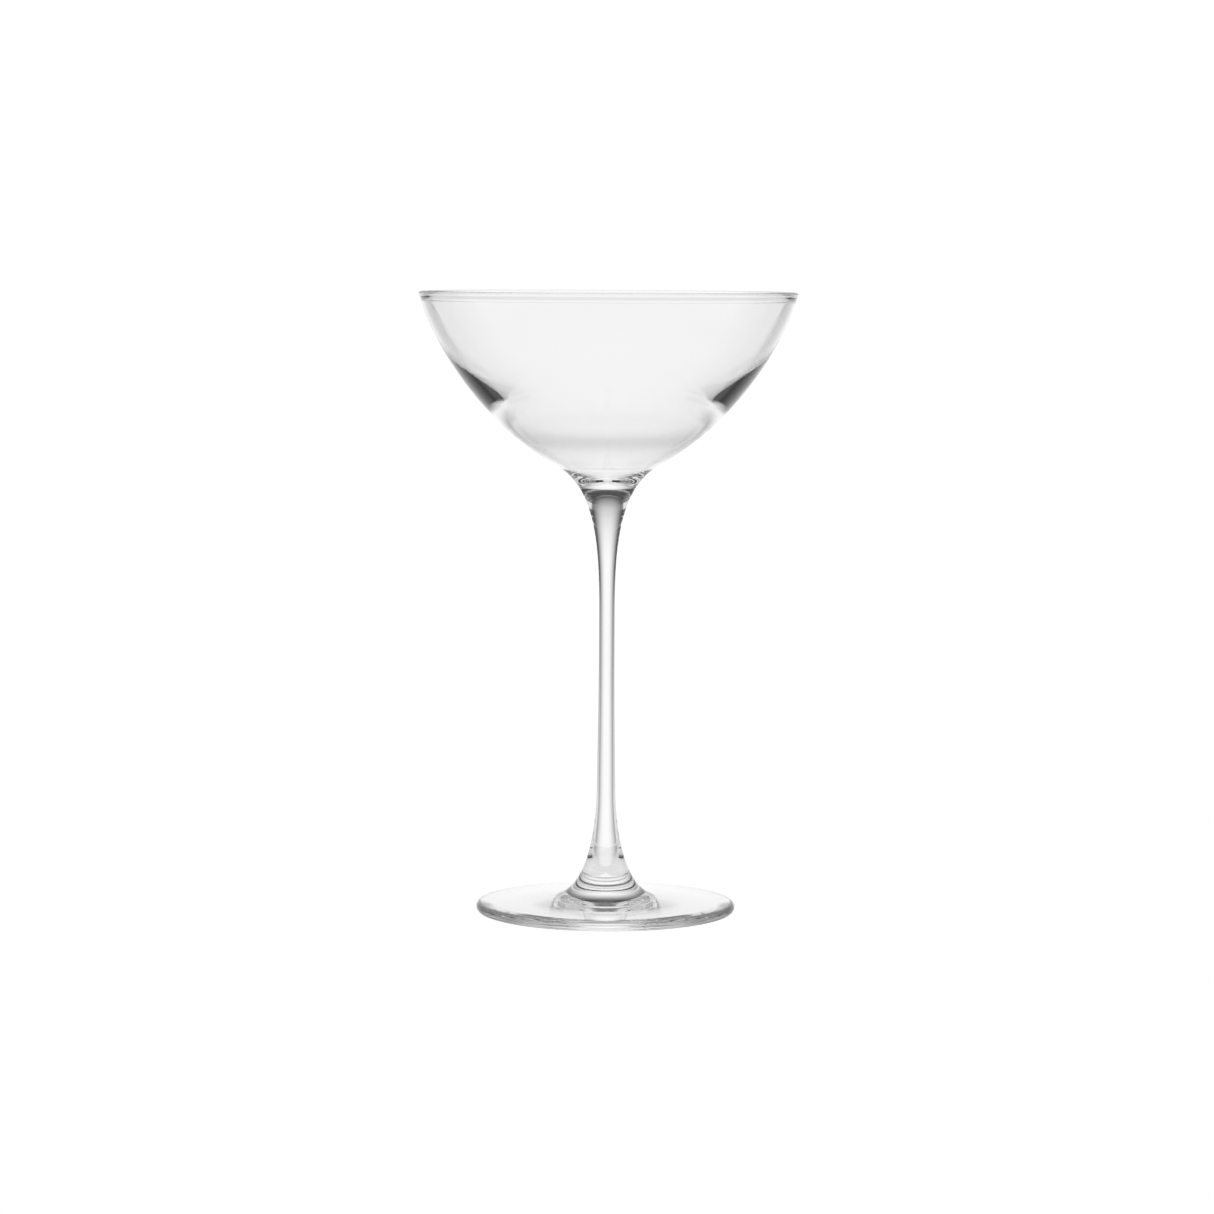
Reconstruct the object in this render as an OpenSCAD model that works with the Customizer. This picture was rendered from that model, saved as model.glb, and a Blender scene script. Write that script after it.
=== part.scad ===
// Martini glass: a thin curved bowl on a drawn stem and a round foot.
// Three pieces of clear glass, fused face to face on the axis.
// Origin: centre of the foot's underside, on the table. Z points up, the axis is Z.

/* [Overall] */
// Height from the table to the lip
total_h = 178; // [170:0.5:190]

/* [Bowl] */
// Outside diameter over the bead of the lip
rim_d = 108; // [98:0.5:116]
// Thickness of the wall just below the lip
wall_t = 1.05; // [0.8:0.05:1.6]
// How far the fire-polished bead of the lip stands proud of the wall on each side
bead_proud = 0.25; // [0:0.05:0.4]
// Lean of the wall at the lip, in degrees from vertical
lip_lean = 11.3; // [6:0.1:18]
// Height of the outer wall, from the neck up to the lip
wall_h = 49; // [44:0.5:54]
// Radius of the neck, where the wall turns over into the stem
neck_r = 14.4; // [12:0.1:16]
// Lean of the wall at the neck, in degrees from vertical
neck_lean = 60.7; // [54:0.1:66]
// Extra thickness of the wall at its belly
belly_t = 1.85; // [0:0.05:2.2]
// Height of the belly above the neck
belly_h = 13.9; // [10:0.1:20]
// Height over which the belly fades upward
belly_up = 10; // [6:0.1:16]
// Height over which the belly fades downward
belly_down = 6.6; // [4:0.1:8]
// How far the middle of the inside lies below the neck
bottom_drop = 4.4; // [3.6:0.1:5]
// Radius of the flat middle of the inside
bottom_r = 2.4; // [0.5:0.1:4]

/* [Stem] */
// Height of the fused joint between bowl and stem, below the neck
bowl_joint_drop = 7.2; // [6:0.1:9]
// Diameter of the stem at its waist, the thinnest place
waist_d = 4.46; // [4:0.02:6]
// Height of the waist above the table
waist_z = 85; // [75:0.5:95]
// Diameter of the stem where the lower flare begins
ankle_d = 5.34; // [4.8:0.02:7]
// Height of the place where the lower flare begins
ankle_z = 35.7; // [32:0.1:42]

/* [Foot] */
// Diameter of the foot
foot_d = 74.4; // [66:0.2:82]
// Thickness of the foot at its rounded edge
edge_t = 3; // [2.4:0.1:4]
// Height of the fused joint between stem and foot
foot_joint_z = 19.2; // [15:0.1:24]
// Radius where the flare has run out into the top of the foot
flare_r = 15; // [12:0.1:20]
// Height of the top of the foot at that radius
flare_z = 4.6; // [4:0.1:6]
// Width of the flat ring that the glass stands on
ring_w = 4; // [2:0.1:8]
// Rise of the hollow under the foot, at its middle
hollow_h = 1.2; // [0:0.1:2]

/* [Hidden] */
$fn = 180;

// Straight steps along each curve
STEPS = 28;
// Straight steps round the lip and round the foot's edge
ROUND_STEPS = 12;
// Lean of the stem at the ankle, in degrees from vertical
ankle_lean = 0.9;
// Height over which the lip's bead fades into the wall
bead_fade = 0.8;
glass = [0.86, 0.9, 0.92, 0.45];

lip_r = wall_t / 2 + bead_proud;
lip_z = total_h - lip_r;
wall_top_r = rim_d / 2 - bead_proud;
neck_z = total_h - wall_h - 0.8;
bowl_joint_z = neck_z - bowl_joint_drop;
bottom_z = neck_z - bottom_drop;
belly_z = neck_z + belly_h;
edge_r = edge_t / 2;
flat_out_r = foot_d / 2 - edge_r;
flat_in_r = flat_out_r - ring_w;
// Slope of the foot's top, from its rounded edge up to the flare
top_slope = atan((flare_z - edge_t) / (flat_out_r - flare_r));

// A point at distance len from p, leaning by angle from vertical
function up(p, len, lean) = p + len * [sin(lean), cos(lean)];

// The outlines, each a curve through two end points with two handle points between
outer_wall = [
    [wall_top_r, lip_z],
    up([wall_top_r, lip_z], -11.4, lip_lean),
    up([neck_r, neck_z], 26.4, neck_lean),
    [neck_r, neck_z]
];
upper_flare = [
    [neck_r, neck_z],
    up([neck_r, neck_z], -13.7, neck_lean),
    [waist_d / 2, waist_z + 16.8],
    [waist_d / 2, waist_z]
];
lower_stem = [
    [waist_d / 2, waist_z],
    [waist_d / 2, waist_z - 16],
    up([ankle_d / 2, ankle_z], 32.6, -ankle_lean),
    [ankle_d / 2, ankle_z]
];
lower_flare = [
    [ankle_d / 2, ankle_z],
    up([ankle_d / 2, ankle_z], -20.2, -ankle_lean),
    up([flare_r, flare_z], 6.7, top_slope - 90),
    [flare_r, flare_z]
];

// The point at t, from 0 to 1, along a curve of four points
function on(c, t) =
    let (s = 1 - t)
    s * s * s * c[0] + 3 * s * s * t * c[1] + 3 * s * t * t * c[2] + t * t * t * c[3];

// Where along a curve that runs downward the height z is reached
function at_height(c, z, low = 0, high = 1, n = 30) =
    let (mid = (low + high) / 2)
    n == 0 ? mid :
    on(c, mid)[1] > z ? at_height(c, z, mid, high, n - 1) : at_height(c, z, low, mid, n - 1);

// Points along a curve from t0 to t1
function along(c, t0 = 0, t1 = 1) = [for (i = [0 : STEPS]) on(c, t0 + (t1 - t0) * i / STEPS)];

// Points on a round end, from angle a0 to a1 about the centre
function round_end(centre, r, a0, a1) =
    [for (i = [0 : ROUND_STEPS])
        let (a = a0 + (a1 - a0) * i / ROUND_STEPS)
        centre + r * [cos(a), sin(a)]];

// The bead swells the wall smoothly, side being 1 outside and -1 inside
function beaded(points, side) =
    [for (p = points) p + side * [bead_proud * exp(-pow((lip_z - p[1]) / bead_fade, 2)), 0]];

function reversed(points) = [for (i = [len(points) - 1 : -1 : 0]) points[i]];

function without_first(points) = [for (i = [1 : len(points) - 1]) points[i]];

function without_last(points) = [for (i = [0 : len(points) - 2]) points[i]];

// The wall's thickness at height z: it has a belly low on the bowl
function wall_at(z) =
    wall_t + belly_t * exp(-pow((z - belly_z) / (z > belly_z ? belly_up : belly_down), 2));

// The inner surface opposite the point at t on the outer wall, square to that wall
function inside_point(t) =
    let (
        p = on(outer_wall, t),
        d = on(outer_wall, t + 0.001) - on(outer_wall, t - 0.001)
    )
    p + wall_at(p[1]) * [d[1], -d[0]] / norm(d);

// The inside, from just below the lip down to the middle of the bottom
function inside() =
    let (
        square = [for (i = [0 : STEPS]) inside_point(i / STEPS)],
        below = [for (p = square) if (p[1] < lip_z - 0.3) p],
        side = concat([[wall_top_r - wall_t, lip_z]], below),
        end = side[len(side) - 1],
        reach = 0.45 * (end[0] - bottom_r),
        back = side[len(side) - 3] - end,
        dish = [end, end - reach * back / norm(back), [bottom_r + reach, bottom_z], [bottom_r, bottom_z]]
    )
    concat(beaded(side, -1), without_first(along(dish)), [[0, bottom_z]]);

module turned(outline) {
    rotate_extrude() polygon(outline);
}

// Thin-walled bowl with the short solid boss at its bottom
module bowl() {
    joint = at_height(upper_flare, bowl_joint_z);
    lip_centre = [wall_top_r - wall_t / 2, lip_z];
    color(glass)
    turned(concat(
        [[0, bowl_joint_z]],
        reversed(along(upper_flare, 0, joint)),
        without_first(reversed(beaded(along(outer_wall), 1))),
        without_last(without_first(round_end(lip_centre, lip_r, 0, 180))),
        inside()
    ));
}

// Solid drawn stem, waisted in the middle and flared at both ends
module stem() {
    top = at_height(upper_flare, bowl_joint_z);
    bottom = at_height(lower_flare, foot_joint_z);
    color(glass)
    turned(concat(
        [[0, bowl_joint_z]],
        along(upper_flare, top, 1),
        without_first(along(lower_stem)),
        without_first(along(lower_flare, 0, bottom)),
        [[0, foot_joint_z]]
    ));
}

// Round foot with a hub that carries the flare, a rounded edge and a slightly hollow underside
module foot() {
    top = at_height(lower_flare, foot_joint_z);
    hollow = [for (i = [0 : STEPS])
        let (r = flat_in_r * i / STEPS)
        [r, hollow_h * (1 - pow(r / flat_in_r, 2))]];
    color(glass)
    turned(concat(
        [[0, foot_joint_z]],
        along(lower_flare, top, 1),
        reversed(round_end([flat_out_r, edge_r], edge_r, -90, 90)),
        reversed(hollow)
    ));
}

bowl();
stem();
foot();
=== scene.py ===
"""Looks of a clear martini glass: a thin bowl, a drawn stem and a pressed foot, fused together.

The glass stands on a pale table in a studio that is fixed in the world. The light is brightest
straight behind the glass and fades to the sides and upward, so the edges of the glass read dark.
Weaker side panels, a rear wall and a lit floor keep the glass clear from the other sides.
"""
import math
import bmesh
import bpy
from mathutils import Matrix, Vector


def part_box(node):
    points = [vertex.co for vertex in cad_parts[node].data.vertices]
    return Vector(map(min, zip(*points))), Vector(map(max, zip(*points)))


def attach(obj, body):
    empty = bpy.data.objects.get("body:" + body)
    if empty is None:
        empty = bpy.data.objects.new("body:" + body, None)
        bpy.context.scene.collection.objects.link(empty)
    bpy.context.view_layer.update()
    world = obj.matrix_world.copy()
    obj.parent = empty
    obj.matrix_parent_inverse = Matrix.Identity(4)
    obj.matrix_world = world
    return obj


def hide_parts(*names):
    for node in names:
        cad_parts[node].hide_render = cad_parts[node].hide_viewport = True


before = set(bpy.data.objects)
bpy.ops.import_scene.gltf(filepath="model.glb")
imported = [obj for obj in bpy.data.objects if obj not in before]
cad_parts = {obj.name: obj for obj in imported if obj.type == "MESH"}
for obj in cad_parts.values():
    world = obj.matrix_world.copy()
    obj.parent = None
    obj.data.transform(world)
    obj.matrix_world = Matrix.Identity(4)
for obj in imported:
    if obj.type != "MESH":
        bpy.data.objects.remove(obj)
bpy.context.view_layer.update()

MM = 0.001

# ------------------------------------------------------------------ sizes, from the frame
BOWL_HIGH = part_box("bowl")[1]
STEM_LOW, STEM_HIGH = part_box("stem")
FOOT_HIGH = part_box("foot")[1]
TOTAL_H = BOWL_HIGH[2]
RIM_R = BOWL_HIGH[0]
FOOT_R = FOOT_HIGH[0]
BOWL_JOINT_Z = STEM_HIGH[2]
FOOT_JOINT_Z = STEM_LOW[2]

# ------------------------------------------------------------------ shape of the glass
# Lengths are in metres, and leans in degrees from vertical.
# The bowl: its wall, the bead of its lip, its neck, its belly and its bottom
WALL_T = 1.05 * MM
WALL_H = 49 * MM
BEAD_PROUD = 0.25 * MM
BEAD_FADE = 0.8 * MM
BEAD_H = 0.8 * MM
LIP_LEAN = 11.3
NECK_R = 14.4 * MM
NECK_LEAN = 60.7
BELLY_T = 1.85 * MM
BELLY_H = 13.9 * MM
BELLY_UP = 10 * MM
BELLY_DOWN = 6.6 * MM
BOTTOM_DROP = 4.4 * MM
BOTTOM_R = 2.4 * MM
DISH_SHARE = 0.45
LIP_SKIP = 0.3 * MM
# The stem: its waist and its ankle
WAIST_R = 2.23 * MM
WAIST_Z = 85 * MM
ANKLE_R = 2.67 * MM
ANKLE_Z = 35.7 * MM
ANKLE_LEAN = 0.9
# The foot: its edge, the end of the flare, the ring it stands on and the hollow inside the ring
EDGE_R = 1.5 * MM
FLARE_R = 15 * MM
FLARE_Z = 4.6 * MM
RING_W = 4 * MM
HOLLOW_H = 1.2 * MM
# How far a curve keeps the lean of its end, above and below each place where two curves meet
LIP_PULL = 11.4 * MM
NECK_PULL_ABOVE = 26.4 * MM
NECK_PULL_BELOW = 13.7 * MM
WAIST_PULL_ABOVE = 16.8 * MM
WAIST_PULL_BELOW = 16 * MM
ANKLE_PULL_ABOVE = 32.6 * MM
ANKLE_PULL_BELOW = 20.2 * MM
FLARE_PULL = 6.7 * MM

LIP_R = WALL_T / 2 + BEAD_PROUD
LIP_Z = TOTAL_H - LIP_R
WALL_TOP_R = RIM_R - BEAD_PROUD
NECK_Z = TOTAL_H - WALL_H - BEAD_H
BELLY_Z = NECK_Z + BELLY_H
BOTTOM_Z = NECK_Z - BOTTOM_DROP
FLAT_OUT_R = FOOT_R - EDGE_R
FLAT_IN_R = FLAT_OUT_R - RING_W
TOP_SLOPE = math.degrees(math.atan((FLARE_Z - 2 * EDGE_R) / (FLAT_OUT_R - FLARE_R)))

# Straight steps along a curve, round an edge and round the axis
CURVE_STEPS = 64
ROUND_STEPS = 28
TURN_STEPS = 240
# A short way along a curve, for reading its direction, and lengths too small to tell apart
SHORT_WAY = 0.001
SAME_DIGITS = 7
SAME = 10 ** -SAME_DIGITS


def up(r, z, length, lean):
    """The point at a length from (r, z), leaning by an angle from vertical."""
    return (r + length * math.sin(math.radians(lean)), z + length * math.cos(math.radians(lean)))


OUTER_WALL = [
    (WALL_TOP_R, LIP_Z),
    up(WALL_TOP_R, LIP_Z, -LIP_PULL, LIP_LEAN),
    up(NECK_R, NECK_Z, NECK_PULL_ABOVE, NECK_LEAN),
    (NECK_R, NECK_Z),
]
UPPER_FLARE = [
    (NECK_R, NECK_Z),
    up(NECK_R, NECK_Z, -NECK_PULL_BELOW, NECK_LEAN),
    (WAIST_R, WAIST_Z + WAIST_PULL_ABOVE),
    (WAIST_R, WAIST_Z),
]
LOWER_STEM = [
    (WAIST_R, WAIST_Z),
    (WAIST_R, WAIST_Z - WAIST_PULL_BELOW),
    up(ANKLE_R, ANKLE_Z, ANKLE_PULL_ABOVE, -ANKLE_LEAN),
    (ANKLE_R, ANKLE_Z),
]
LOWER_FLARE = [
    (ANKLE_R, ANKLE_Z),
    up(ANKLE_R, ANKLE_Z, -ANKLE_PULL_BELOW, -ANKLE_LEAN),
    up(FLARE_R, FLARE_Z, FLARE_PULL, TOP_SLOPE - 90),
    (FLARE_R, FLARE_Z),
]


def on(curve, t):
    """The point at t, from 0 to 1, along a curve of four points."""
    s = 1 - t
    weights = (s ** 3, 3 * s * s * t, 3 * s * t * t, t ** 3)
    return tuple(sum(w * p[k] for w, p in zip(weights, curve)) for k in (0, 1))


def at_height(curve, z):
    """Where along a curve that runs downward the height z is reached."""
    low, high = 0.0, 1.0
    for _ in range(50):
        mid = (low + high) / 2
        if on(curve, mid)[1] > z:
            low = mid
        else:
            high = mid
    return (low + high) / 2


def along(curve, t0=0.0, t1=1.0):
    """Points along a curve from t0 to t1."""
    return [on(curve, t0 + (t1 - t0) * i / CURVE_STEPS) for i in range(CURVE_STEPS + 1)]


def round_end(centre, r, a0, a1):
    """Points on a round end, from angle a0 to a1 about its centre."""
    angles = [math.radians(a0 + (a1 - a0) * i / ROUND_STEPS) for i in range(ROUND_STEPS + 1)]
    return [(centre[0] + r * math.cos(a), centre[1] + r * math.sin(a)) for a in angles]


def beaded(points, side):
    """The fire-polished bead swells the wall smoothly, side being 1 outside and -1 inside."""
    return [(r + side * BEAD_PROUD * math.exp(-((LIP_Z - z) / BEAD_FADE) ** 2), z) for r, z in points]


def wall_thickness(z):
    """The wall's thickness at height z: it has a belly low on the bowl."""
    reach = BELLY_UP if z > BELLY_Z else BELLY_DOWN
    return WALL_T + BELLY_T * math.exp(-((z - BELLY_Z) / reach) ** 2)


def inside_point(t):
    """The inner surface opposite the point at t on the outer wall, square to that wall."""
    r, z = on(OUTER_WALL, t)
    r0, z0 = on(OUTER_WALL, t - SHORT_WAY)
    r1, z1 = on(OUTER_WALL, t + SHORT_WAY)
    length = math.hypot(r1 - r0, z1 - z0)
    thick = wall_thickness(z)
    return (r + thick * (z1 - z0) / length, z - thick * (r1 - r0) / length)


def inner_wall():
    """The inside, from just below the lip down to the middle of the bottom."""
    side = [inside_point(i / CURVE_STEPS) for i in range(CURVE_STEPS + 1)]
    side = [(WALL_TOP_R - WALL_T, LIP_Z)] + [p for p in side if p[1] < LIP_Z - LIP_SKIP]
    end = side[-1]
    reach = DISH_SHARE * (end[0] - BOTTOM_R)
    lean = math.degrees(math.atan2(side[-3][0] - end[0], side[-3][1] - end[1]))
    dish = [end, up(*end, -reach, lean), (BOTTOM_R + reach, BOTTOM_Z), (BOTTOM_R, BOTTOM_Z)]
    return beaded(side, -1) + along(dish)[1:] + [(0, BOTTOM_Z)]


def bowl_outline():
    joint = at_height(UPPER_FLARE, BOWL_JOINT_Z)
    lip_centre = (WALL_TOP_R - WALL_T / 2, LIP_Z)
    outside = along(UPPER_FLARE, 0, joint)[::-1] + beaded(along(OUTER_WALL), 1)[::-1][1:]
    inside = inner_wall()
    return [(0, BOWL_JOINT_Z)] + outside + round_end(lip_centre, LIP_R, 0, 180)[1:-1] + inside


def stem_outline():
    top = at_height(UPPER_FLARE, BOWL_JOINT_Z)
    bottom = at_height(LOWER_FLARE, FOOT_JOINT_Z)
    side = along(UPPER_FLARE, top, 1) + along(LOWER_STEM)[1:] + along(LOWER_FLARE, 0, bottom)[1:]
    return [(0, BOWL_JOINT_Z)] + side + [(0, FOOT_JOINT_Z)]


def foot_outline():
    top = at_height(LOWER_FLARE, FOOT_JOINT_Z)
    edge = round_end((FLAT_OUT_R, EDGE_R), EDGE_R, -90, 90)[::-1]
    hollow = []
    for i in range(CURVE_STEPS + 1):
        r = FLAT_IN_R * i / CURVE_STEPS
        hollow.append((r, HOLLOW_H * (1 - (r / FLAT_IN_R) ** 2)))
    return [(0, FOOT_JOINT_Z)] + along(LOWER_FLARE, top, 1) + edge + hollow[::-1]


def turned(name, outline, joints):
    """A closed mesh turned from an outline that starts and ends on the axis.

    Flat faces at the heights in joints get material slot 1, and the rest slot 0.
    """
    bm = bmesh.new()
    rings = []
    for r, z in outline:
        if r < SAME:
            rings.append([bm.verts.new((0, 0, z))])
        else:
            turn = [2 * math.pi * k / TURN_STEPS for k in range(TURN_STEPS)]
            rings.append([bm.verts.new((r * math.cos(a), r * math.sin(a), z)) for a in turn])
    for a, b in zip(rings, rings[1:]):
        for k in range(TURN_STEPS):
            n = (k + 1) % TURN_STEPS
            loop = [a[k % len(a)], a[n % len(a)], b[n % len(b)], b[k % len(b)]]
            corners = []
            for v in loop:
                if v not in corners:
                    corners.append(v)
            face = bm.faces.new(corners)
            face.smooth = True
            heights = {round(v.co.z, SAME_DIGITS) for v in corners}
            if len(heights) == 1 and any(abs(corners[0].co.z - j) < SAME for j in joints):
                face.material_index = 1
                face.smooth = False
    bmesh.ops.recalc_face_normals(bm, faces=bm.faces)
    for edge in bm.edges:
        kinds = {f.material_index for f in edge.link_faces}
        if len(kinds) == 2:
            edge.smooth = False
    mesh = bpy.data.meshes.new(name)
    bm.to_mesh(mesh)
    bm.free()
    piece = bpy.data.objects.new(name, mesh)
    bpy.context.scene.collection.objects.link(piece)
    return piece


# ------------------------------------------------------------------ materials
GLASS_IOR = 1.5
# Faint haze: its waves per metre, the span of the noise over which it comes in, and its roughness
HAZE_WAVES = (260, 260, 260)
HAZE_SPAN = (0.45, 0.8)
HAZE_ROUGHNESS = 0.03


def new_material(name):
    material = bpy.data.materials.new(name)
    material.use_nodes = True
    nodes = material.node_tree.nodes
    nodes.clear()
    return material, nodes, material.node_tree.links


def noise(nodes, links, waves, detail):
    """Noise with its own number of waves per metre across, along the other side, and up."""
    coords = nodes.new("ShaderNodeTexCoord")
    mapping = nodes.new("ShaderNodeMapping")
    mapping.inputs["Scale"].default_value = waves
    links.new(coords.outputs["Object"], mapping.inputs["Vector"])
    texture = nodes.new("ShaderNodeTexNoise")
    texture.inputs["Scale"].default_value = 1
    texture.inputs["Detail"].default_value = detail
    links.new(mapping.outputs["Vector"], texture.inputs["Vector"])
    return texture.outputs["Fac"]


def bump(nodes, links, height, depth, below=None):
    node = nodes.new("ShaderNodeBump")
    node.inputs["Distance"].default_value = depth
    links.new(height, node.inputs["Height"])
    if below is not None:
        links.new(below, node.inputs["Normal"])
    return node.outputs["Normal"]


def glass_material(name, broad, broad_depth, fine, fine_depth):
    """Clear glass with the broad waves of its forming and finer marks on them."""
    material, nodes, links = new_material(name)
    shader = nodes.new("ShaderNodeBsdfPrincipled")
    shader.inputs["Base Color"].default_value = (1, 1, 1, 1)
    shader.inputs["IOR"].default_value = GLASS_IOR
    shader.inputs["Transmission Weight"].default_value = 1.0
    waves = bump(nodes, links, noise(nodes, links, broad, 2), broad_depth)
    marks = bump(nodes, links, noise(nodes, links, fine, 3), fine_depth, waves)
    links.new(marks, shader.inputs["Normal"])
    haze = nodes.new("ShaderNodeMapRange")
    haze.inputs["From Min"].default_value = HAZE_SPAN[0]
    haze.inputs["From Max"].default_value = HAZE_SPAN[1]
    haze.inputs["To Min"].default_value = 0.0
    haze.inputs["To Max"].default_value = HAZE_ROUGHNESS
    links.new(noise(nodes, links, HAZE_WAVES, 3), haze.inputs["Value"])
    links.new(haze.outputs["Result"], shader.inputs["Roughness"])
    output = nodes.new("ShaderNodeOutputMaterial")
    links.new(shader.outputs["BSDF"], output.inputs["Surface"])
    return material


def fused_material():
    """The faces inside a fused joint can't be seen: glass meets glass."""
    material, nodes, links = new_material("fused joint")
    shader = nodes.new("ShaderNodeBsdfTransparent")
    output = nodes.new("ShaderNodeOutputMaterial")
    links.new(shader.outputs["BSDF"], output.inputs["Surface"])
    return material


def dress(piece, node, glass):
    """Gives a piece its glass and its fused faces, and puts it in the place of its node."""
    piece.data.materials.append(glass)
    piece.data.materials.append(FUSED)
    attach(piece, "root")
    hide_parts(node)


FUSED = fused_material()
bowl = turned("glass_bowl", bowl_outline(), [BOWL_JOINT_Z])
stem = turned("glass_stem", stem_outline(), [BOWL_JOINT_Z, FOOT_JOINT_Z])
foot = turned("glass_foot", foot_outline(), [FOOT_JOINT_Z])
# The bowl was blown, the stem drawn lengthways, and the foot pressed and spun
BLOWN = glass_material(
    "bowl glass", broad=(45, 45, 45), broad_depth=12e-6, fine=(300, 300, 160), fine_depth=0.3e-6
)
DRAWN = glass_material(
    "stem glass", broad=(160, 160, 25), broad_depth=10e-6, fine=(700, 700, 60), fine_depth=0.6e-6
)
SPUN = glass_material(
    "foot glass", broad=(50, 50, 50), broad_depth=12e-6, fine=(60, 60, 1500), fine_depth=3e-6
)
dress(bowl, "bowl", BLOWN)
dress(stem, "stem", DRAWN)
dress(foot, "foot", SPUN)

# ------------------------------------------------------------------ camera
# In metres and degrees: straight in front of the glass, a little above its lip, looking down
scene = bpy.context.scene
CAMERA_SIDE = -0.00050
CAMERA_DISTANCE = 1.140
EYE_HEIGHT = TOTAL_H + 0.00985
PITCH = 5.011
ROLL = -0.3
SENSOR_MM = 36
LENS_MM = 118.5
FARTHEST = 20
camera = bpy.data.objects.new("camera", bpy.data.cameras.new("camera"))
scene.collection.objects.link(camera)
camera.location = (CAMERA_SIDE, -CAMERA_DISTANCE, EYE_HEIGHT)
camera.rotation_mode = "XYZ"
camera.rotation_euler = (math.radians(90 - PITCH), math.radians(ROLL), 0)
camera.data.sensor_width = SENSOR_MM
camera.data.lens = LENS_MM
camera.data.clip_end = FARTHEST
scene.camera = camera

# ------------------------------------------------------------------ studio
# The studio is fixed in the world: nothing in it follows the camera.
# Angles in degrees, seen from the glass. Turn is away from straight behind the glass (+Y), and
# depth is below the horizon.
BACK_FADE = (5, 55)     # turn over which the back light fades out
UP_FADE = (-3, 47)      # height over which it fades out upward
SIDE_RISE = (72, 86)    # turn over which a side panel comes in
SIDE_END = (94, 108)    # turn over which it falls to the level of the rear wall
FLOOR_RISE = (26, 40)   # depth over which the lit floor comes in behind the glass
ROOM_TURN = (32, 44)    # turn over which the brighter floor of the room comes in
ROOM_RISE = (-2, 14)    # depth over which it comes in
# Levels, the back light being 1
SIDE_LEVEL = 0.85
REAR_SHARE = 0.65       # the rear wall, as a share of a side panel
FLOOR_LEVEL = 0.8
ROOM_LEVEL = 0.8
DARK_LEVEL = 0.015      # from everywhere else
# The dome that the glass sees, and the white surround and table that the camera sees
DOME_R = 3.0
WHITE_R = 4.0
WHITE_LEVEL = 1.02
TABLE_R = 0.98 * DOME_R
TABLE_GREY = (0.5, 0.5, 0.5, 1)
TABLE_GLOW = 0.97
TABLE_GAP = 0.02 * MM   # keeps the table's face and the foot's ring apart
# Glass needs many bounces, or its edges turn black
GLASS_BOUNCES = 32
GLOSSY_BOUNCES = 16


def math_node(nodes, links, operation, first, second=None):
    node = nodes.new("ShaderNodeMath")
    node.operation = operation
    for socket, value in zip(node.inputs, (first, second)):
        if isinstance(value, (int, float)):
            socket.default_value = value
        elif value is not None:
            links.new(value, socket)
    return node.outputs[0]


def smooth_step(nodes, links, value, span, start, end):
    """Goes smoothly from start to end as value crosses the span, given in degrees."""
    node = nodes.new("ShaderNodeMapRange")
    node.interpolation_type = "SMOOTHSTEP"
    links.new(value, node.inputs["Value"])
    node.inputs["From Min"].default_value = math.radians(span[0])
    node.inputs["From Max"].default_value = math.radians(span[1])
    node.inputs["To Min"].default_value = start
    node.inputs["To Max"].default_value = end
    return node.outputs["Result"]


def emission(nodes, links, level):
    """Makes the material shine at a level, given as a number or as a node's output."""
    shader = nodes.new("ShaderNodeEmission")
    if isinstance(level, (int, float)):
        shader.inputs["Strength"].default_value = level
    else:
        links.new(level, shader.inputs["Strength"])
    output = nodes.new("ShaderNodeOutputMaterial")
    links.new(shader.outputs[0], output.inputs["Surface"])


def dome_material():
    """Light by direction from the glass: back light, side panels, rear wall and lit floors."""
    material, nodes, links = new_material("studio light")
    coords = nodes.new("ShaderNodeTexCoord")
    unit = nodes.new("ShaderNodeVectorMath")
    unit.operation = "NORMALIZE"
    links.new(coords.outputs["Object"], unit.inputs[0])
    split = nodes.new("ShaderNodeSeparateXYZ")
    links.new(unit.outputs["Vector"], split.inputs[0])
    sideways = math_node(nodes, links, "ABSOLUTE", split.outputs["X"])
    turn = math_node(nodes, links, "ARCTAN2", sideways, split.outputs["Y"])
    height = math_node(nodes, links, "ARCSINE", split.outputs["Z"])
    depth = math_node(nodes, links, "MULTIPLY", height, -1)
    back = smooth_step(nodes, links, turn, BACK_FADE, 1, 0)
    rise = smooth_step(nodes, links, turn, SIDE_RISE, 0, SIDE_LEVEL)
    fall = smooth_step(nodes, links, turn, SIDE_END, 1, REAR_SHARE)
    sides = math_node(nodes, links, "MULTIPLY", rise, fall)
    walls = math_node(nodes, links, "ADD", back, sides)
    upward = smooth_step(nodes, links, height, UP_FADE, 1, 0)
    walls = math_node(nodes, links, "MULTIPLY", walls, upward)
    floor = smooth_step(nodes, links, depth, FLOOR_RISE, 0, FLOOR_LEVEL)
    beside = smooth_step(nodes, links, turn, ROOM_TURN, 0, ROOM_LEVEL)
    below = smooth_step(nodes, links, depth, ROOM_RISE, 0, 1)
    room = math_node(nodes, links, "MULTIPLY", beside, below)
    level = math_node(nodes, links, "MAXIMUM", walls, floor)
    level = math_node(nodes, links, "MAXIMUM", level, room)
    level = math_node(nodes, links, "MAXIMUM", level, DARK_LEVEL)
    emission(nodes, links, level)
    return material


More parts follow.
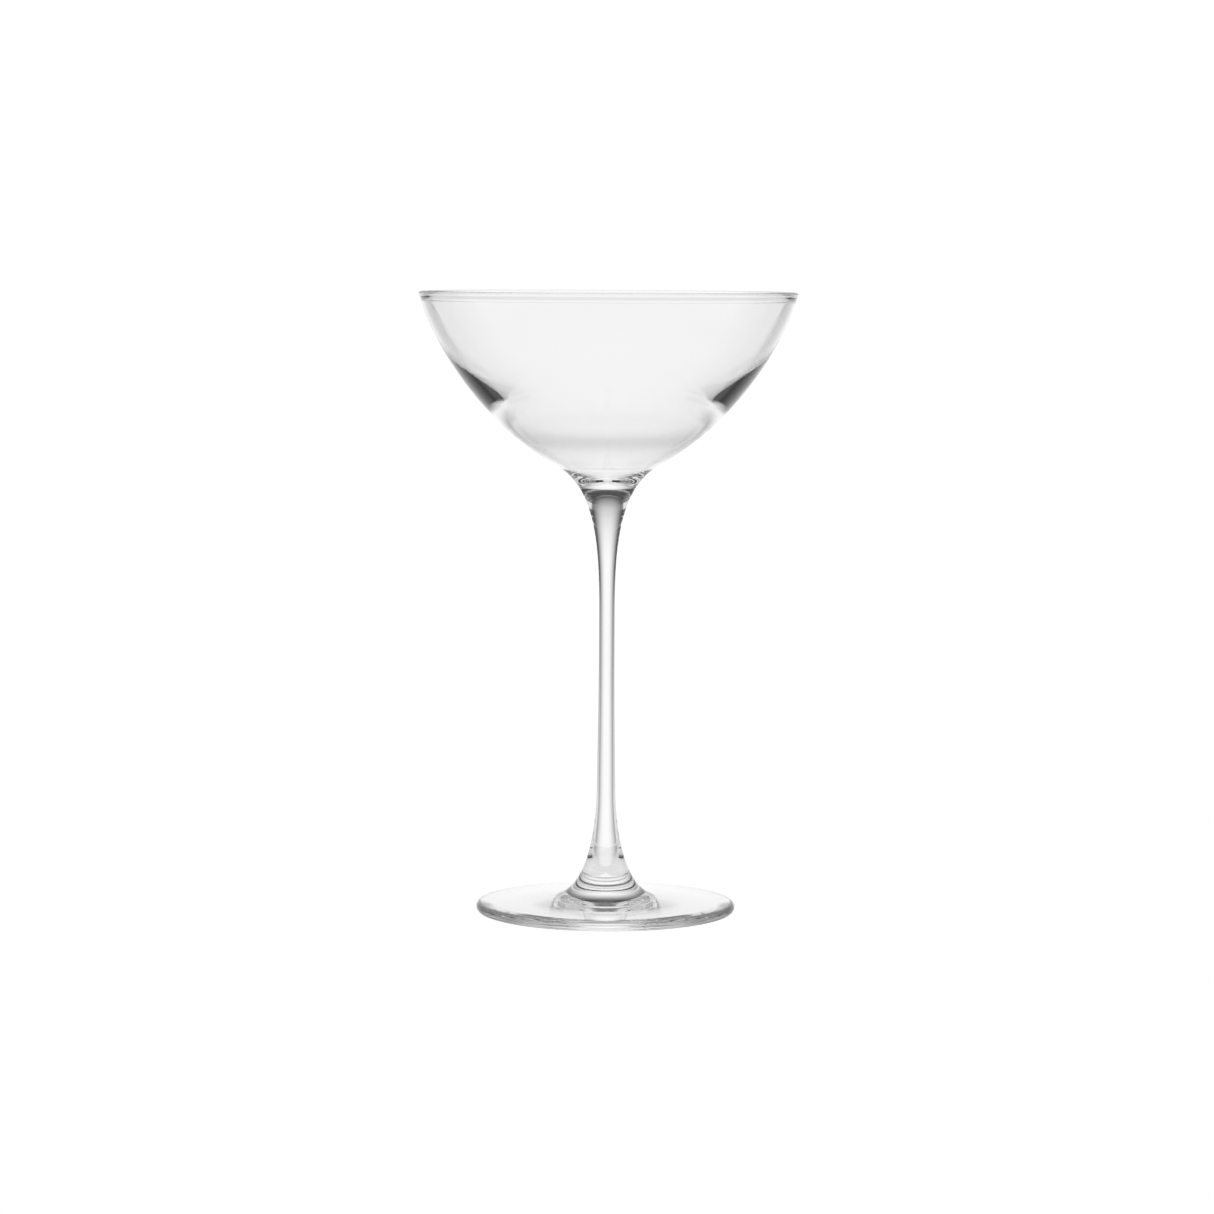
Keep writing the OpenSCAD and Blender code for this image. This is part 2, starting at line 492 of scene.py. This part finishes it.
def white_material():
    material, nodes, links = new_material("white surround")
    emission(nodes, links, WHITE_LEVEL)
    return material


def table_material():
    """A pale table that shines by itself, so that it stays as pale as the surround."""
    material, nodes, links = new_material("pale table")
    diffuse = nodes.new("ShaderNodeBsdfDiffuse")
    diffuse.inputs["Color"].default_value = TABLE_GREY
    glow = nodes.new("ShaderNodeEmission")
    glow.inputs["Strength"].default_value = TABLE_GLOW
    both = nodes.new("ShaderNodeAddShader")
    links.new(diffuse.outputs[0], both.inputs[0])
    links.new(glow.outputs[0], both.inputs[1])
    output = nodes.new("ShaderNodeOutputMaterial")
    links.new(both.outputs[0], output.inputs["Surface"])
    return material


def stage_piece(name, fill, material):
    """A fixed floor or surround, made by a bmesh fill."""
    bm = bmesh.new()
    fill(bm)
    mesh = bpy.data.meshes.new(name)
    bm.to_mesh(mesh)
    bm.free()
    obj = bpy.data.objects.new(name, mesh)
    scene.collection.objects.link(obj)
    obj.data.materials.append(material)
    return obj


def ball(radius):
    return lambda bm: bmesh.ops.create_uvsphere(bm, u_segments=64, v_segments=32, radius=radius)


def disc(radius):
    return lambda bm: bmesh.ops.create_circle(bm, cap_ends=True, segments=128, radius=radius)


dome = stage_piece("dome", ball(DOME_R), dome_material())
dome.location.z = TOTAL_H / 2
dome.visible_camera = False

# The camera sees a plain white table and surround. Rays through the glass or off it don't.
surround = stage_piece("surround", ball(WHITE_R), white_material())
for ray in ("diffuse", "glossy", "transmission", "volume_scatter", "shadow"):
    setattr(surround, "visible_" + ray, False)
table = stage_piece("table", disc(TABLE_R), table_material())
table.location.z = -TABLE_GAP
table.visible_transmission = False
table.visible_glossy = False

world = bpy.data.worlds.new("dark room")
scene.world = world
world.use_nodes = True
world.node_tree.nodes["Background"].inputs["Strength"].default_value = 0

scene.view_settings.view_transform = "Standard"
scene.cycles.max_bounces = GLASS_BOUNCES
scene.cycles.transmission_bounces = GLASS_BOUNCES
scene.cycles.glossy_bounces = GLOSSY_BOUNCES
scene.cycles.transparent_max_bounces = GLASS_BOUNCES
